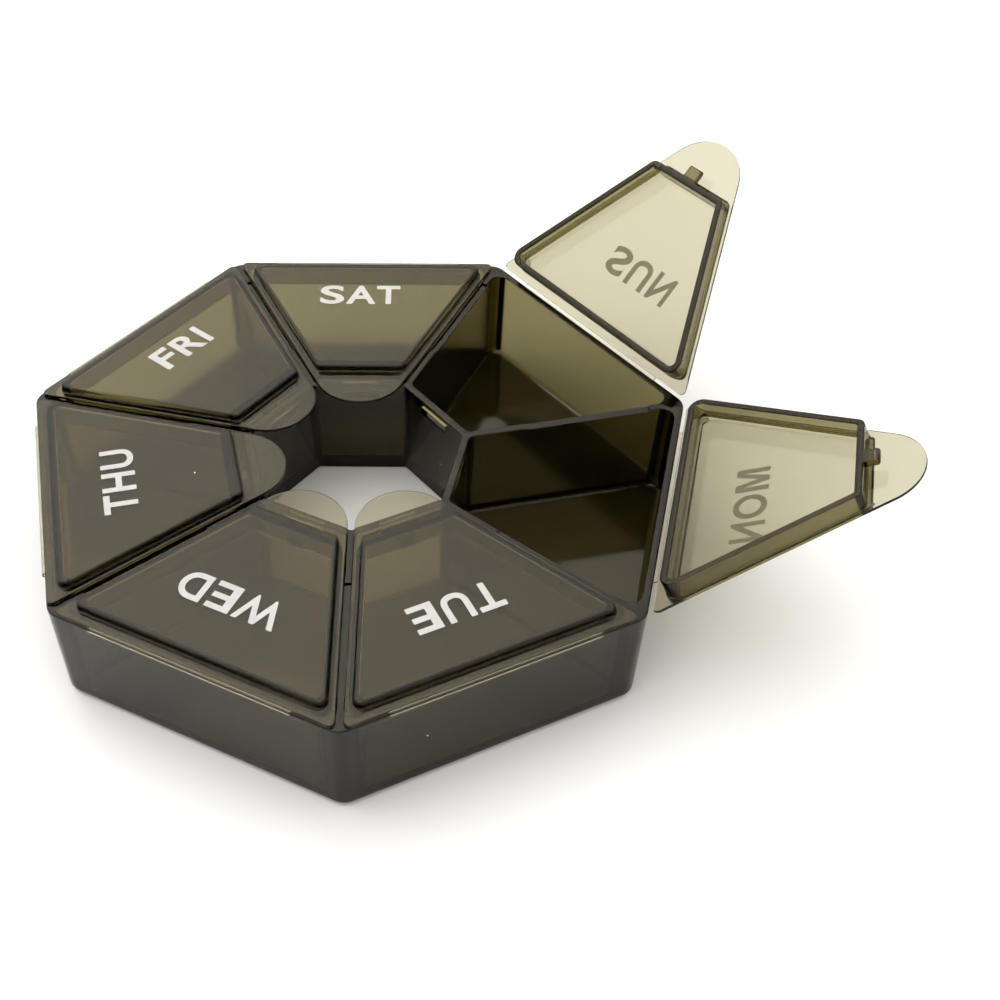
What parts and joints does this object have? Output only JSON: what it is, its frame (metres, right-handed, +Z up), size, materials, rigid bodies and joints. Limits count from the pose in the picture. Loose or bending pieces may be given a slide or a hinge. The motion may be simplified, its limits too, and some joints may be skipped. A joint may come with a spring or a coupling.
{
  "type": "weekly pill organizer",
  "caption": "Seven-sided translucent smoke plastic pill box: a ring of day compartments round an open centre, each with its own film-hinged snap lid.",
  "frame": {"origin": "on the ring's axis, in the plane of the flat base it stands on", "axes": "+Z up along the ring's axis; +Y outwards through the Saturday side; +X to the right of it, so the days run clockwise seen from above"},
  "size_m": [0.1236, 0.0974, 0.0404],
  "materials": {
    "smoke_plastic": "glossy translucent smoke grey, injection moulded"
  },
  "bodies": {
    "tray": {"tray_floor": "smoke_plastic", "tray_well_wall": "smoke_plastic", "wall_saturday": "smoke_plastic", "wall_sunday": "smoke_plastic", "wall_monday": "smoke_plastic", "wall_tuesday": "smoke_plastic", "wall_wednesday": "smoke_plastic", "wall_thursday": "smoke_plastic", "wall_friday": "smoke_plastic", "divider_saturday_sunday": "smoke_plastic", "divider_sunday_monday": "smoke_plastic", "divider_monday_tuesday": "smoke_plastic", "divider_tuesday_wednesday": "smoke_plastic", "divider_wednesday_thursday": "smoke_plastic", "divider_thursday_friday": "smoke_plastic", "divider_friday_saturday": "smoke_plastic", "hinge_saturday": "smoke_plastic", "hinge_sunday": "smoke_plastic", "hinge_monday": "smoke_plastic", "hinge_tuesday": "smoke_plastic", "hinge_wednesday": "smoke_plastic", "hinge_thursday": "smoke_plastic", "hinge_friday": "smoke_plastic"},
    "saturday_lid": {"lid_saturday": "smoke_plastic"},
    "sunday_lid": {"lid_sunday": "smoke_plastic"},
    "monday_lid": {"lid_monday": "smoke_plastic"},
    "tuesday_lid": {"lid_tuesday": "smoke_plastic"},
    "wednesday_lid": {"lid_wednesday": "smoke_plastic"},
    "thursday_lid": {"lid_thursday": "smoke_plastic"},
    "friday_lid": {"lid_friday": "smoke_plastic"}
  },
  "joints": [
    {"name": "saturday_hinge", "type": "hinge", "parent": "tray", "child": "saturday_lid", "pos_m": [0, 0.0452, 0.017], "axis": [-1, 0, 0], "range_deg": [0, 180], "deforming": ["hinge_saturday"]},
    {"name": "sunday_hinge", "type": "hinge", "parent": "tray", "child": "sunday_lid", "pos_m": [0.03534, 0.02818, 0.017], "axis": [-0.6235, 0.7818, 0], "range_deg": [-138, 42], "deforming": ["hinge_sunday"]},
    {"name": "monday_hinge", "type": "hinge", "parent": "tray", "child": "monday_lid", "pos_m": [0.04407, -0.01006, 0.017], "axis": [0.2225, 0.9749, 0], "range_deg": [-154, 26], "deforming": ["hinge_monday"]},
    {"name": "tuesday_hinge", "type": "hinge", "parent": "tray", "child": "tuesday_lid", "pos_m": [0.01961, -0.04072, 0.017], "axis": [0.901, 0.4339, 0], "range_deg": [0, 180], "deforming": ["hinge_tuesday"]},
    {"name": "wednesday_hinge", "type": "hinge", "parent": "tray", "child": "wednesday_lid", "pos_m": [-0.01961, -0.04072, 0.017], "axis": [0.901, -0.4339, 0], "range_deg": [0, 180], "deforming": ["hinge_wednesday"]},
    {"name": "thursday_hinge", "type": "hinge", "parent": "tray", "child": "thursday_lid", "pos_m": [-0.04407, -0.01006, 0.017], "axis": [0.2225, -0.9749, 0], "range_deg": [0, 180], "deforming": ["hinge_thursday"]},
    {"name": "friday_hinge", "type": "hinge", "parent": "tray", "child": "friday_lid", "pos_m": [-0.03534, 0.02818, 0.017], "axis": [-0.6235, -0.7818, 0], "range_deg": [0, 180], "deforming": ["hinge_friday"]}
  ]
}
